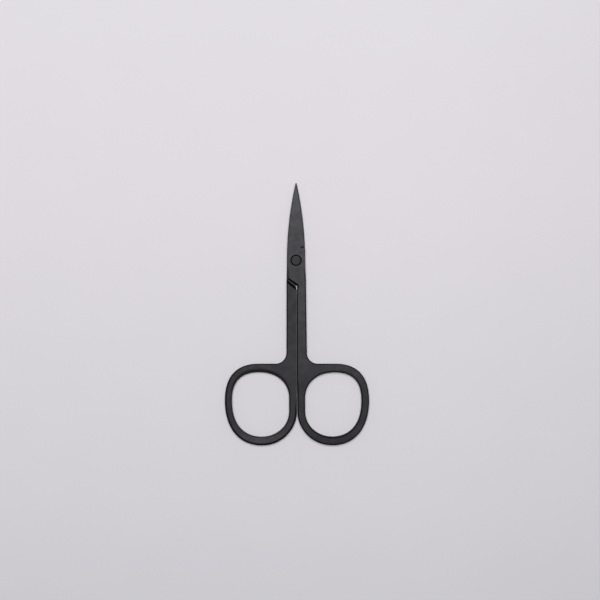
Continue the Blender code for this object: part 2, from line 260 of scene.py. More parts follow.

# The even rims: width as a share of the rim's usual width, and painted shade, below 0 a painted
# highlight, front then rear
RIMS = {
    "seam": ((1.1, 4.0), (0.7, -5.0)),
    "seam near": ((2.0, 5.0), (0.9, -4.0)),
    "seam low": ((2.0, 5.0), (2.7, 5.0)),
    "ring bottom": ((1.3, 3.0), (1.8, 3.8)),
    "ring outer": ((1.1, 2.0), (1.6, 3.0)),
    "ring top": ((1.0, 0.4), (1.0, 0.4)),
    "shank": ((1.4, 4.0), (1.4, 4.5)),
    "hole top": ((1.2, 0.8), (2.2, 0.75)),
    "hole outer": ((1.0, 1.0), (0.8, 0.1)),
    "hole bottom": ((1.5, 1.4), (0.8, 0.1)),
    "hole inner": ((1.0, 0.8), (1.0, 1.0)),
}


def size(name, description, default):
    """A length that the user can change, in metres."""
    return FloatProperty(
        name=name, description=description, default=default, min=0.0, precision=5, unit="LENGTH"
    )


def pair(name, description, default):
    """Two lengths, for the front and the rear half or along X and Y."""
    return FloatVectorProperty(
        name=name, description=description, default=default, size=2, precision=5, unit="LENGTH"
    )


def share(name, description, default):
    """A number from 0 to 1 that the user can change."""
    return FloatProperty(
        name=name, description=description, default=default, min=0.0, max=1.0, subtype="FACTOR"
    )


def tint(name, description, default):
    """A colour that the user can change."""
    return FloatVectorProperty(
        name=name, description=description, default=default, min=0.0, max=1.0, subtype="COLOR"
    )


class ScissorBladeSizes(bpy.types.PropertyGroup):
    """Sizes of the blades and of the lap round the rivet."""

    length: size("Blade length", "From the rivet's axis to the tip", FRONT_HIGH.y)
    half_width: size("Half width", "Half the blades' width at the rivet", 0.00318)
    tip_half_width: size("Tip half width", "Half the width of the very tip", 0.00016)
    tip_thickness: size("Tip thickness", "Thickness of one blade at its tip", 0.0006)
    ground_from: size("Grind start", "From the rivet's axis to the nick", 0.0044)
    falls_from: size("Taper start", "Where the outer face begins to fall", 0.0054)
    spine_chamfer: size("Spine chamfer", "Width of the chamfer along the back", 0.00025)
    edge_inset: size("Edge inset", "How far the cutting edge stands in", 0.0001)
    edge_land: size("Edge land", "Upright height left at the cutting edge", 0.0002)
    bevel_width: size("Bevel width", "Width of the cutting side's bevel", 0.00032)
    nick_depth: size("Nick depth", "Depth of the nick where the edge begins", 0.0016)
    nick_set: size("Nick set", "How far the side draws in towards the nick", 0.00006)
    nick_width: size("Nick width", "Width of the nick at the blade's side", 0.0008)
    hollow: size("Hollow", "Depth of the hollow ground inner face", 0.00004)
    lap_margin: size("Lap margin", "How much wider the lap is than the blade", 0.00002)
    lap_end: size("Lap end", "From the rivet's axis to the lap's end", 0.00645)
    lap_gap: size("Lap gap", "Gap between the two lap layers", 0.0001)


class ScissorShankSizes(bpy.types.PropertyGroup):
    """Sizes of the two shanks below the rivet."""

    flare: pair("Flare", "How far each shoulder stands out", (0.00023, 0.00014))
    widening: pair("Widening", "Further growth down each shank", (0.00033, 0.00002))
    flare_length: size("Flare length", "Length over which the shoulder grows", 0.005)
    ramp_run: size("Ramp run", "Length of the ramp under the shoulder", 0.0008)
    swing_gap: size("Swing gap", "Clear space round the swinging lap", 0.0003)
    relief_depth: pair("Relief depth", "Depth of the relief at the seam's top", (0.0, 0.00048))
    relief_length: size("Relief length", "Length of that relief", 0.003)
    side_round: size("Side rounding", "Rounding of the rims along the outer side", 0.00034)
    seam_gap: size("Seam gap", "Gap between the two shanks", 0.00004)
    seam_offset: size("Seam offset", "From the rivet's axis to the seam", 0.00034)
    seam_round: size("Seam rounding", "Rounding of the rims along the seam", 0.0003)
    seam_opening: size("Seam opening", "How far each seam side leans out by the rings", 0.0001)
    seam_lean: size("Seam lean", "How far the opening leans to the front half", 0.00002)
    fillet: size("Fillet", "Radius between a shank and its ring", 0.00385)


class ScissorRingSizes(bpy.types.PropertyGroup):
    """Sizes of the finger rings."""

    distance: size("Ring distance", "From the rivet's axis to the ring's top", 0.03628)
    offset: size("Ring offset", "From the rivet's axis to where the rings meet", 0.00036)
    breadth: pair("Breadth", "Breadth of each ring", (0.02523, 0.02534))
    length: pair("Length", "Length of each ring", (0.02855, 0.02864))
    top_wall: size("Top wall", "Width of the ring's top side", 0.00299)
    outer_wall: pair("Outer wall", "Width of each ring's outer side", (0.00267, 0.00247))
    bottom_wall: size("Bottom wall", "Width of the ring's bottom side", 0.003)
    inner_wall: size("Inner wall", "Width of the ring's seam side", 0.00282)
    outer_round: size("Outer rounding", "Rounding of the outer rims", 0.00055)
    hole_round: size("Hole rounding", "Rounding of the finger hole's rims", 0.0007)


class ScissorRivetSizes(bpy.types.PropertyGroup):
    """Sizes of the rivet and of its seat."""

    head_radius: size("Head radius", "Radius of each flush head", HEAD_HIGH.x)
    head_depth: size("Head thickness", "Thickness of each head", 0.0008)
    shank_radius: size("Shank radius", "Radius of the rivet's shank", 0.0013)
    clearance: size("Clearance", "Gap round the rivet's shank", 0.00005)
    groove: size("Groove", "Gap round each head", 0.00028)
    dish: size("Dish", "How far each head falls towards its rim", 0.00003)


class ScissorFinish(bpy.types.PropertyGroup):
    """Colours and surface of the black coat."""

    coat_tint: tint("Coat", "Colour of the coat on the rings", (0.02, 0.0197, 0.0214))
    # The colour of the shade painted round the rims, on the ramp and in the rivet's seat
    rim_shade_tint: tint("Edge tone", "Colour of the coat round the rims", (0.005, 0.005, 0.0052))
    worn_tint: tint("Worn steel", "Colour where the coat has rubbed thin", (0.17, 0.165, 0.16))
    metallic: share("Metallic", "How metallic the coat looks", 0.85)
    roughness: share("Roughness", "Mean roughness of the coat", 0.6)


class ScissorStage(bpy.types.PropertyGroup):
    """Floor, light and camera."""

    view_height: size("View height", "From the scissors' top to the camera", 0.5833)
    view_point: pair("View point", "X and Y that the camera looks at", (0.00137, -0.0139))
    lens: FloatProperty(name="Lens", description="Focal length in mm", default=100.0, min=1.0)
    key_power: FloatProperty(name="Key light", description="Power in watts", default=17.2, min=0.0)
    key_size: size("Key size", "Diameter of the round soft box overhead", 0.6)
    sky: share("Sky", "Strength of the even light from all round", 0.15)
    backdrop_low: share("Backdrop near", "Backdrop's tone towards the rings", 0.32)
    backdrop_high: share("Backdrop far", "Backdrop's tone past the blades", 1.0)


@dataclass
class Knot:
    """A knot of an outline. A side with no handle is straight, and ease is the radius
    that rounds a knot between two straight sides. Step is the spacing of points up to
    the next knot."""

    place: tuple
    rim: Rim
    back: tuple = None
    ahead: tuple = None
    ease: float = 0.0
    step: float = STEP


def half_sizes(side):
    """One half's sizes in its local frame. Side is 1 for the front half and -1 for the
    rear half."""
    scene = bpy.context.scene
    blade, shank, ring = scene.scissor_blade, scene.scissor_shank, scene.scissor_ring
    which = 0 if side > 0 else 1
    half = SimpleNamespace(blade=blade, shank=shank, ring=ring)
    half.inner_face = (THICKNESS + blade.lap_gap) / 2
    half.fall = THICKNESS - half.inner_face - blade.tip_thickness
    half.lap = blade.half_width + blade.lap_margin
    narrowing = blade.half_width - blade.tip_half_width
    half.radius = (blade.length**2 + narrowing**2) / (2 * narrowing)
    half.seam = side * shank.seam_offset + shank.seam_gap / 2
    half.opening = shank.seam_opening + side * shank.seam_lean
    half.relief = shank.relief_depth[which]
    half.shoulder = half.lap + shank.flare[which]
    half.side_x = half.shoulder + shank.widening[which]
    sweep = math.hypot(half.lap, blade.lap_end) + shank.swing_gap
    half.ramp_foot = -math.sqrt(sweep**2 - half.shoulder**2)
    half.ring_axis = side * ring.offset
    half.breadth = ring.breadth[which]
    half.length = ring.length[which]
    half.outer_wall = ring.outer_wall[which]
    half.ring_top = -ring.distance
    half.ring_bottom = half.ring_top - half.length
    half.rims = {name: rims[which] for name, rims in RIMS.items()}
    return half


def lap_end(half, x):
    """Y of the lap's slanted end at a given X."""
    return -half.blade.lap_end - (x + half.lap) * math.tan(LAP_END_ANGLE)


def eased_step(value, reach):
    """0 below 0, a straight slope of 1 above it, and a parabola of half width reach that
    eases the bend between them."""
    bend = np.clip(value + reach, 0, 2 * reach)
    return bend**2 / (4 * reach) + np.maximum(value - reach, 0)


def smooth_share(value, low, high):
    """0 below low, 1 above high and a smooth cubic between them."""
    part = np.clip((value - low) / (high - low), 0, 1)
    return part * part * (3 - 2 * part)


def blade_half_width(half, y):
    """Half width of the blade at Y: an arc of the blade's radius, tangent at the rivet."""
    return np.sqrt(half.radius**2 - y**2) - half.radius + half.blade.half_width


def top_height(half, x, y):
    """Height of the outer face, the same at every X: flat, then falling evenly from the
    taper's start to the tip, with an eased bend."""
    slope = half.fall / (half.blade.length - half.blade.falls_from)
    return THICKNESS - slope * eased_step(y - half.blade.falls_from, TAPER_EASE)


def ramp_rise(half, x, y):
    """How far up the ramp a place is: 0 at its foot and 1 at its head."""
    past = (y - half.ramp_foot) * math.cos(RAMP_ANGLE)
    past = past - (x - half.shoulder) * math.sin(RAMP_ANGLE)
    return past / half.shank.ramp_run + 1


def ramp_shade(half, x, y):
    """Painted shade on the ramp: 1 on the ramp and 0 on the flats before and past it, with a smooth
    change.
    """
    rise = ramp_rise(half, x, y)
    ease = RAMP_EASE_SHARE
    return smooth_share(rise, -ease, ease) * (1 - smooth_share(rise, 1 - ease, 1 + ease))


def low_height(half, x, y):
    """Height of the face below: 0 under the ring and shank, up the ramp, then the inner
    face, whose hollow is a parabola across the blade that fades in and out along it."""
    rise = ramp_rise(half, x, y)
    ramp = eased_step(rise, RAMP_EASE_SHARE) - eased_step(rise - 1, RAMP_EASE_SHARE)
    across = x / blade_half_width(half, np.clip(y, 0, half.blade.length))
    fade = smooth_share(y, *HOLLOW_GROWS) * (1 - smooth_share(y, *HOLLOW_FADES))
    return half.inner_face * ramp + half.blade.hollow * fade * (1 - np.clip(across, -1, 1) ** 2)


def arc_knots(radius, centre, side, stops):
    """Knots along an arc of the blade, up its cutting edge for a side of 1 and down its
    back for -1. A stop is a Y, a rim and the spacing of the points after it. Between two
    stops the handles are 4/3 of the tangent of a quarter of the sweep."""
    angles = [math.asin(y / radius) for y, _, _ in stops]
    reaches = [4 / 3 * math.tan(abs(b - a) / 4) * radius for a, b in zip(angles, angles[1:])]
    knots = []
    for angle, (y, rim, step), before, after in zip(angles, stops, [0, *reaches], [*reaches, 0]):
        along = (-math.sin(angle), side * math.cos(angle))
        back = tuple(-before * part for part in along) if before else None
        ahead = tuple(after * part for part in along) if after else None
        place = (side * (radius * math.cos(angle) - centre), y)
        knots.append(Knot(place, rim, back, ahead, step=step))
    return knots


def even_rim(half, name, width):
    """A named rim of one half, rounded alike above and below."""
    width_share, painted_shade = half.rims[name]
    width = width * width_share
    return Rim(width, width, 0, width, painted_shade)


def placed_knots(half, table, width, across, down):
    """A table's knots, between two values of X and two of Y."""
    knots = []
    for name, right, low, _ in table:
        place = (across[0] + right * (across[1] - across[0]), down[0] + low * (down[1] - down[0]))
        knots.append(Knot(place, even_rim(half, name, width)))
    return knots


def with_corners(knots, table, upright):
    """Knots with the handles of their table's corners. A corner leads from a side to the
    top or bottom or back, so one of its handles is upright and the other level. Upright
    says whether the first corner sets out upright."""
    for index, (_, _, _, shares) in enumerate(table):
        if shares:
            one, two = knots[index], knots[(index + 1) % len(knots)]
            x, y = (part * (b - a) for part, a, b in zip(shares, one.place, two.place))
            one.ahead, two.back = ((0, y), (-x, 0)) if upright else ((x, 0), (0, -y))
            upright = not upright
    return knots


def ring_knots(half):
    """The ring's outer side, from the seam round its bottom to its top edge. The seam's
    side leans out from one knot to the next before it turns away."""
    down = (half.ring_top, half.ring_bottom)
    across = (half.seam, half.seam + half.opening)
    knots = placed_knots(half, SEAM_KNOTS, half.shank.seam_round, across, down)
    across = (half.ring_axis, half.ring_axis + half.breadth)
    knots += placed_knots(half, RING_KNOTS, half.ring.outer_round, across, down)
    return with_corners(knots, SEAM_KNOTS + RING_KNOTS, True)


def hole_knots(half):
    """The finger hole, drawn so that the steel lies on its left."""
    ring = half.ring
    across = (half.ring_axis + ring.inner_wall, half.ring_axis + half.breadth - half.outer_wall)
    down = (half.ring_top - ring.top_wall, half.ring_bottom + ring.bottom_wall)
    knots = placed_knots(half, HOLE_KNOTS, ring.hole_round, across, down)
    return with_corners(knots, HOLE_KNOTS, False)


def blade_knots(half):
    """The nick, the cutting edge's arc, the tip and the arched back, up one side of the
    blade and down the other."""
    blade = half.blade
    # Shade is painted lightly on the bevel of the cutting edge and on the spine's chamfer
    edge_rim = Rim(blade.bevel_width, THICKNESS, 1, 0.00002, 0.25)
    spine_rim = Rim(blade.spine_chamfer, blade.spine_chamfer, 1, 0.00004, 0.5)
    edge_radius = half.radius - blade.edge_inset
    centre = half.radius - blade.half_width
    nick_top = blade.ground_from + NICK_RISE_SHARE * blade.nick_width
    nick_x = edge_radius * math.cos(math.asin(nick_top / edge_radius)) - centre
    slender = blade.length - OFF_SLENDER_TIP
    end = blade.length - OFF_TIP
    tip = blade.tip_half_width
    edge = (
        (nick_top + OFF_NICK, NICK_RIM, FINE_STEP),
        (EDGE_FULL_FROM, edge_rim, STEP),
        (slender, edge_rim, FINE_STEP),
        (end, NEAR_EDGE_RIM, FINE_STEP),
    )
    spine = (
        (end, NEAR_SPINE_RIM, FINE_STEP),
        (slender, spine_rim, STEP),
        (SPINE_FULL_FROM, spine_rim, STEP),
        (SPINE_FROM, BACK_RIM, STEP),
    )
    return [
        Knot((half.lap - blade.nick_set, blade.ground_from), NICK_RIM, ease=NICK_MOUTH_EASE),
        Knot((half.lap - blade.nick_depth, blade.ground_from), NICK_RIM, ease=NICK_ROOT_EASE),
        Knot((nick_x, nick_top), NICK_RIM, ease=NICK_MOUTH_EASE, step=FINE_STEP),
        *arc_knots(edge_radius, centre, 1, edge),
        Knot((tip, blade.length), TIP_RIM, ease=TIP_EASE, step=FINE_STEP),
        Knot((-tip, blade.length), TIP_RIM, ease=TIP_EASE, step=FINE_STEP),
        *arc_knots(half.radius, centre, -1, spine),
    ]


def outline_knots(half):
    """One half's whole outline, drawn so that the steel lies on its left."""
    shank = half.shank
    shank_rim = even_rim(half, "shank", shank.side_round)
    seam_rim = even_rim(half, "seam", shank.seam_round)
    fillet = QUARTER_ARC_SHARE * shank.fillet
    fillet_top = half.ring_top + shank.fillet
    ramp_low = half.ramp_foot - OFF_RAMP
    span = (fillet_top, half.ramp_foot)
    ramp_low_x = np.interp(ramp_low, span, (half.side_x, half.shoulder))
    inner = half.seam + half.relief
    corner = lap_end(half, inner)
    below_corner = shank.relief_length if half.relief else OFF_SEAM_CORNER
    relief_ease = RELIEF_EASE if half.relief else 0.0
    return [
        *ring_knots(half),
        Knot((half.side_x + shank.fillet, half.ring_top), shank_rim, None, (-fillet, 0)),
        Knot((half.side_x, fillet_top), shank_rim, (0, -fillet), None),
        Knot((ramp_low_x, ramp_low), shank_rim, step=FINE_STEP),
        Knot((half.shoulder, half.ramp_foot), SHOULDER_RIM, ease=SHOULDER_EASE),
        Knot((half.lap, half.ramp_foot + shank.flare_length), LAP_RIM, ease=SHOULDER_EASE),
        *blade_knots(half),
        Knot((-half.lap, LAP_SIDE_FROM), BACK_RIM),
        Knot((-half.lap, lap_end(half, -half.lap)), LAP_END_RIM, ease=LAP_END_EASE, step=FINE_STEP),
        Knot((inner, corner), LAP_END_RIM, ease=SEAM_CORNER_EASE, step=FINE_STEP),
        Knot((half.seam, corner - below_corner), seam_rim, ease=relief_ease),
    ]


def knot_arc(knot, before, after):
    """The control points of the arc that rounds a knot between two places. They are all
    the same for a sharp knot."""
    here = np.array(knot.place)
    inward, outward = ((b - a) / np.linalg.norm(b - a) for a, b in ((before, here), (here, after)))
    turn = math.acos(float(np.clip(inward @ outward, -1, 1)))
    reach = knot.ease * math.tan(turn / 2)
    handle = 4 / 3 * math.tan(turn / 4) * knot.ease
    entry, leave = here - inward * reach, here + outward * reach
    return entry, entry + inward * handle, leave - outward * handle, leave


def traced(knots):
    """Points and rims along a closed outline. Each stretch is a cubic of four control
    points, P(t) = (1-t)^3 A + 3t(1-t)^2 B + 3t^2(1-t) C + t^3 D, and its rim changes with
    a smooth step from one knot to the next. An eased knot gets an arc of its own."""
    places = [np.array(knot.place) for knot in knots]
    around = zip(knots, places[-1:] + places[:-1], places[1:] + places[:1])
    arcs = [knot_arc(*knot_and_places) for knot_and_places in around]
    points, rims = [], []
    for index, knot in enumerate(knots):
        if knot.ease:
            add_stretch(points, rims, arcs[index], knot.rim, knot.rim, EASE_STEPS)
        following = (index + 1) % len(knots)
        after = knots[following]
        start, end = arcs[index][-1], arcs[following][0]
        first = start + (knot.ahead if knot.ahead else (end - start) / 3)
        second = end + (after.back if after.back else (start - end) / 3)
        steps = max(2, math.ceil(np.linalg.norm(end - start) / knot.step))
        add_stretch(points, rims, (start, first, second, end), knot.rim, after.rim, steps)
    return np.concatenate(points), np.concatenate(rims)


def add_stretch(points, rims, controls, first_rim, last_rim, steps):
    """Add one cubic stretch of an outline, without its last point."""
    part = np.arange(steps)[:, None] / steps
    rest = 1 - part
    weights = (rest**3, 3 * part * rest**2, 3 * part**2 * rest, part**3)
    points.append(sum(weight * point for weight, point in zip(weights, controls)))
    blend = smooth_share(part, 0, 1)
    rims.append(np.asarray(first_rim) * (1 - blend) + np.asarray(last_rim) * blend)


def rim_grid(half, points, rims):
    """A rim carried along an outline, as rows from the outer face to the face below.
    Each row stands in from the outline by its width and off its face by its depth. A
    round rim takes width (1 - sin a) and depth (1 - cos a), a straight one width (1 - t)
    and depth t, and a support row lies on each flat. Also gives each vertex's painted
    shade: the rim's painted shade times the part of the rim passed, up to 1. It is below 0
    where a highlight is painted on the rim, and near 1 where shade is painted on the ramp."""
    ahead = np.roll(points, -1, axis=0) - np.roll(points, 1, axis=0)
    ahead /= np.linalg.norm(ahead, axis=1, keepdims=True)
    inward = np.stack([-ahead[:, 1], ahead[:, 0]], axis=1)
    top_width, top_depth, straight, low_reach, painted_shade = rims.T
    part = np.linspace(0, 1, RIM_STEPS + 1)[:, None]
    round_width = 1 - np.sin(part * math.pi / 2)
    round_depth = 1 - np.cos(part * math.pi / 2)
    width_share = round_width * (1 - straight) + (1 - part) * straight
    depth_share = round_depth * (1 - straight) + part * straight
    top_place = points + inward * top_width[:, None]
    low_place = points + inward * low_reach[:, None]
    top_room = top_height(half, *top_place.T) - low_height(half, *low_place.T)
    top_depth = np.minimum(top_depth, top_room - low_reach - half.blade.edge_land)
    ends = [row + np.clip(SUPPORT_SHARE * row, *SUPPORT_LIMITS) for row in (top_width, low_reach)]
    low_widths = (round_width * low_reach)[::-1]
    widths = np.concatenate([ends[:1], width_share * top_width, low_widths, ends[1:]])
    places = points[None] + inward[None] * widths[..., None]
    flat = np.zeros((1, len(points)))
    drops = np.concatenate([flat, depth_share * top_depth])
    rises = np.concatenate([(round_depth * low_reach)[::-1], flat])
    top_rows = np.moveaxis(places[: len(drops)], -1, 0)
    low_rows = np.moveaxis(places[len(drops) :], -1, 0)
    heights = [top_height(half, *top_rows) - drops, low_height(half, *low_rows) + rises]
    shade = np.minimum(np.concatenate([[[0.0]], part, part[::-1], [[0.0]]]) * painted_shade, 1)
    shade[len(drops) :] += ramp_shade(half, *low_rows) * (1 - shade[len(drops) :])
    return np.concatenate([places, np.concatenate(heights)[..., None]], axis=2), shade


def turned_grid(profile):
    """A profile of radii, heights and painted shades, turned about the rivet's axis clockwise
    seen from above, as a grid of places and their painted shades."""
    angles = -np.arange(TURN_STEPS) * 2 * math.pi / TURN_STEPS
    radii, heights, shades = np.repeat(np.array(profile).T[..., None], TURN_STEPS, axis=2)
    return np.stack([radii * np.cos(angles), radii * np.sin(angles), heights], axis=2), shades


def bore_grid(half):
    """The rivet's bore and the seat of its head, from the outer face down to the inner, with
    shade painted on the seat's and the bore's walls.
    """
    rivet = bpy.context.scene.scissor_rivet
    seat = rivet.head_radius + rivet.groove
    bore = rivet.shank_radius + rivet.clearance
    seat_floor = THICKNESS - rivet.head_depth - rivet.clearance
    ease = SEAT_EASE
    middle = ROUND_MIDDLE_SHARE * ease
    return turned_grid(
        [
            (seat + 2 * ease, THICKNESS, 0.0),
            (seat + ease, THICKNESS, 0.0),
            (seat + middle, THICKNESS - middle, 0.5),
            (seat, THICKNESS - ease, 1.0),
            (seat, seat_floor, 1.0),
            (bore, seat_floor, 1.0),
            (bore, half.inner_face + ease, 1.0),
            (bore + middle, half.inner_face + middle, 0.5),
            (bore + ease, half.inner_face, 0.0),
            (bore + 2 * ease, half.inner_face, 0.0),
        ]
    )


def grid_faces(rows, columns, first):
    """Quads of a grid whose columns close on themselves, from its first vertex's index."""
    ids = first + np.arange(rows * columns).reshape(rows, columns)
    around = np.roll(ids, -1, axis=1)
    return np.stack([ids[:-1], ids[1:], around[1:], around[:-1]], axis=2).reshape(-1, 4)


def inside(points, loops):
    """Whether each point lies within the loops, by the even-odd rule: a level ray to the
    right crosses their sides an odd number of times."""
    start = np.concatenate(loops)
    end = np.concatenate([np.roll(loop, -1, axis=0) for loop in loops])
    x, y = points[:, :1], points[:, 1:]
    spans = (start[:, 1] > y) != (end[:, 1] > y)
    rise = np.where(end[:, 1] == start[:, 1], np.inf, end[:, 1] - start[:, 1])
    crossing = start[:, 0] + (y - start[:, 1]) / rise * (end[:, 0] - start[:, 0])
    return (np.sum(spans & (x < crossing), axis=1) % 2) == 1


def far_from(points, loops, distance):
    """Whether each point is further than a distance from every vertex of the loops."""
    ends = np.concatenate(loops)
    gaps = np.linalg.norm(points[:, None] - ends[None], axis=2)
    return gaps.min(axis=1) > distance


def filled(loops, dots):
    """Triangles between closed loops that also pass through those dots that lie clear
    within them. Gives the triangles as indices into the loops' points and then the kept
    dots, and the kept dots."""
    dots = dots[inside(dots, loops) & far_from(dots, loops, RIM_CLEARANCE)]
    points = np.concatenate([*loops, dots])
    sides = []
    first = 0
    for loop in loops:
        ids = first + np.arange(len(loop))
        sides.append(np.stack([ids, np.roll(ids, -1)], axis=1))
        first += len(loop)
    flat = [Vector(point) for point in (points * MILLIMETRES).tolist()]
    made = delaunay_2d_cdt(flat, np.concatenate(sides).tolist(), [], 0, 1e-7)
    if len(made[0]) != len(points):
        raise RuntimeError("the flat between the rims has crossing sides")
    source = np.array([ids[0] for ids in made[3]])
    triangles = source[np.array(made[2])]
    middles = points[triangles].mean(axis=1)
    triangles = triangles[inside(middles, loops)]
    one, two, three = (points[triangles[:, corner]] for corner in range(3))
    area = np.cross(two - one, three - one)
    triangles[area < 0] = triangles[area < 0][:, ::-1]
    return triangles, dots


def ramp_dots(half):
    """Dots on lines along the foot and the head of the ramp, where the lower face bends."""
    along = np.array([math.cos(RAMP_ANGLE), math.sin(RAMP_ANGLE)])
    across = np.array([-along[1], along[0]])
    run = half.shank.ramp_run
    spread = np.linspace(*RAMP_DOTS_ACROSS) * RAMP_EASE_SHARE * run
    offsets = np.concatenate([spread, spread - run])
    steps = np.arange(*RAMP_DOTS_ALONG)
    foot = np.array([half.shoulder, half.ramp_foot])
    lines = foot + offsets[:, None, None] * across + steps[None, :, None] * along
    return lines.reshape(-1, 2)


def blade_dots(half):
    """Dots on a grid over the blade's inner face, to carry its hollow."""
    y = np.arange(*HOLLOW_DOTS_ALONG)[:, None]
    x = blade_half_width(half, y) * np.linspace(*HOLLOW_DOTS_ACROSS)
    return np.stack([x, y + 0 * x], axis=2).reshape(-1, 2)


def taper_dots(half):
    """Dots on level lines across the outer face where it begins to fall."""
    y = half.blade.falls_from + np.linspace(*TAPER_DOTS_ALONG)[:, None]
    x = np.linspace(*TAPER_DOTS_ACROSS) + 0 * y
    return np.stack([x, y + 0 * x], axis=2).reshape(-1, 2)


def half_shell(side):
    """Vertices, faces and shades of one half's closed shell, in its place."""
    half = half_sizes(side)
    grids = [rim_grid(half, *traced(knots)) for knots in (outline_knots(half), hole_knots(half))]
    grids.append(bore_grid(half))
    vertices, shades, faces, tops, lows = [], [], [], [], []
    first = 0
    for grid, shade in grids:
        rows, columns = shade.shape
        vertices.append(grid.reshape(-1, 3))
        shades.append(shade.reshape(-1))
        faces.append(grid_faces(rows, columns, first))
        tops.append(first + np.arange(columns))
        lows.append(first + (rows - 1) * columns + np.arange(columns))
        first += rows * columns
    rims = np.concatenate(vertices)[:, :2]
    low_dots = np.concatenate([ramp_dots(half), blade_dots(half)])
    for rings, dots, height in ((tops, taper_dots(half), top_height), (lows, low_dots, low_height)):
        upward = height is top_height
        triangles, dots = filled([rims[ids] for ids in rings], dots)
        ids = np.concatenate([*rings, first + np.arange(len(dots))])
        triangles = ids[triangles]
        faces.append(triangles if upward else triangles[:, ::-1])
        vertices.append(np.column_stack([dots, height(half, *dots.T)]))
        # The dots below the rims take the painted shade of the ramp
        shades.append(np.zeros(len(dots)) if upward else ramp_shade(half, *dots.T))
        first += len(dots)
    vertices = np.concatenate(vertices)
    return vertices if side > 0 else turned_over(vertices), faces, np.concatenate(shades)


def turned_over(vertices):
    """Half a turn about the blades' own line: X changes sign and Z counts from the top."""
    return np.array([0, 0, THICKNESS]) + vertices * np.array([-1, 1, -1])


def rivet_shell(rivet):
    """The rivet: a profile from the upper head's middle down to the lower head's, turned
    about the axis. The dish of a head is a parabola, and its rim a quarter circle. Shade is
    painted across each head's rim and under it."""
    head = rivet.head_radius
    radii = np.append(np.array(HEAD_RING_SHARES) * head, head - HEAD_SUPPORT_SHARE * HEAD_EASE)
    face = np.stack([radii, rivet.dish * (radii / head) ** 2, np.zeros(len(radii))], axis=1)
    angles = np.linspace(0, math.pi / 2, EASE_STEPS)
    rim_radii = head - HEAD_EASE * (1 - np.sin(angles))
    rim_falls = rivet.dish + HEAD_EASE * (1 - np.cos(angles))
    rim = np.stack([rim_radii, rim_falls, angles / angles[-1]], axis=1)
    under = [(head, rivet.head_depth, 1.0), (rivet.shank_radius, rivet.head_depth, 1.0)]
    upper = np.concatenate([face, rim, under])
    lower = upper[::-1].copy()
    upper[:, 1] = THICKNESS - upper[:, 1]
    grid, shades = turned_grid(np.concatenate([upper, lower]))
    poles = np.array([(0, 0, THICKNESS), (0, 0, 0)])
    rows = len(grid)
    around = np.arange(TURN_STEPS)
    after = np.roll(around, -1)
    last = (rows - 1) * TURN_STEPS
    pole = np.full(TURN_STEPS, rows * TURN_STEPS)
    faces = [
        grid_faces(rows, TURN_STEPS, 0),
        np.stack([around, after, pole], axis=1),
        np.stack([last + after, last + around, pole + 1], axis=1),
    ]
    vertices = np.concatenate([grid.reshape(-1, 3), poles])
    return vertices, [group[:, ::-1] for group in faces], np.append(shades.reshape(-1), [0, 0])


def linked(name, data):
    """A new object with its data, in the scene."""
    made = bpy.data.objects.new(name, data)
    bpy.context.scene.collection.objects.link(made)
    return made


def mesh_piece(name, vertices, faces, shades, material):
    """A smooth shaded mesh object whose place is in its mesh, with the painted shade of each
    vertex as an attribute."""
    mesh = bpy.data.meshes.new(name)
    loops = np.concatenate([group.reshape(-1) for group in faces]).astype(np.int32)
    sizes = np.concatenate([np.full(len(group), group.shape[1]) for group in faces])
    starts = np.concatenate([[0], np.cumsum(sizes)[:-1]]).astype(np.int32)
    mesh.vertices.add(len(vertices))
    mesh.vertices.foreach_set("co", vertices.astype(np.float32).ravel())
    mesh.loops.add(len(loops))
    mesh.loops.foreach_set("vertex_index", loops)
    mesh.polygons.add(len(sizes))
    mesh.polygons.foreach_set("loop_start", starts)
    mesh.polygons.foreach_set("use_smooth", np.ones(len(sizes), dtype=bool))
    mesh.update(calc_edges=True)
    if mesh.validate():
        raise RuntimeError(name + " has faces that don't fit together")
    attribute = mesh.attributes.new("shade", "FLOAT", "POINT")
    attribute.data.foreach_set("value", shades.astype(np.float32))
    mesh.materials.append(material)
    return linked(name, mesh)


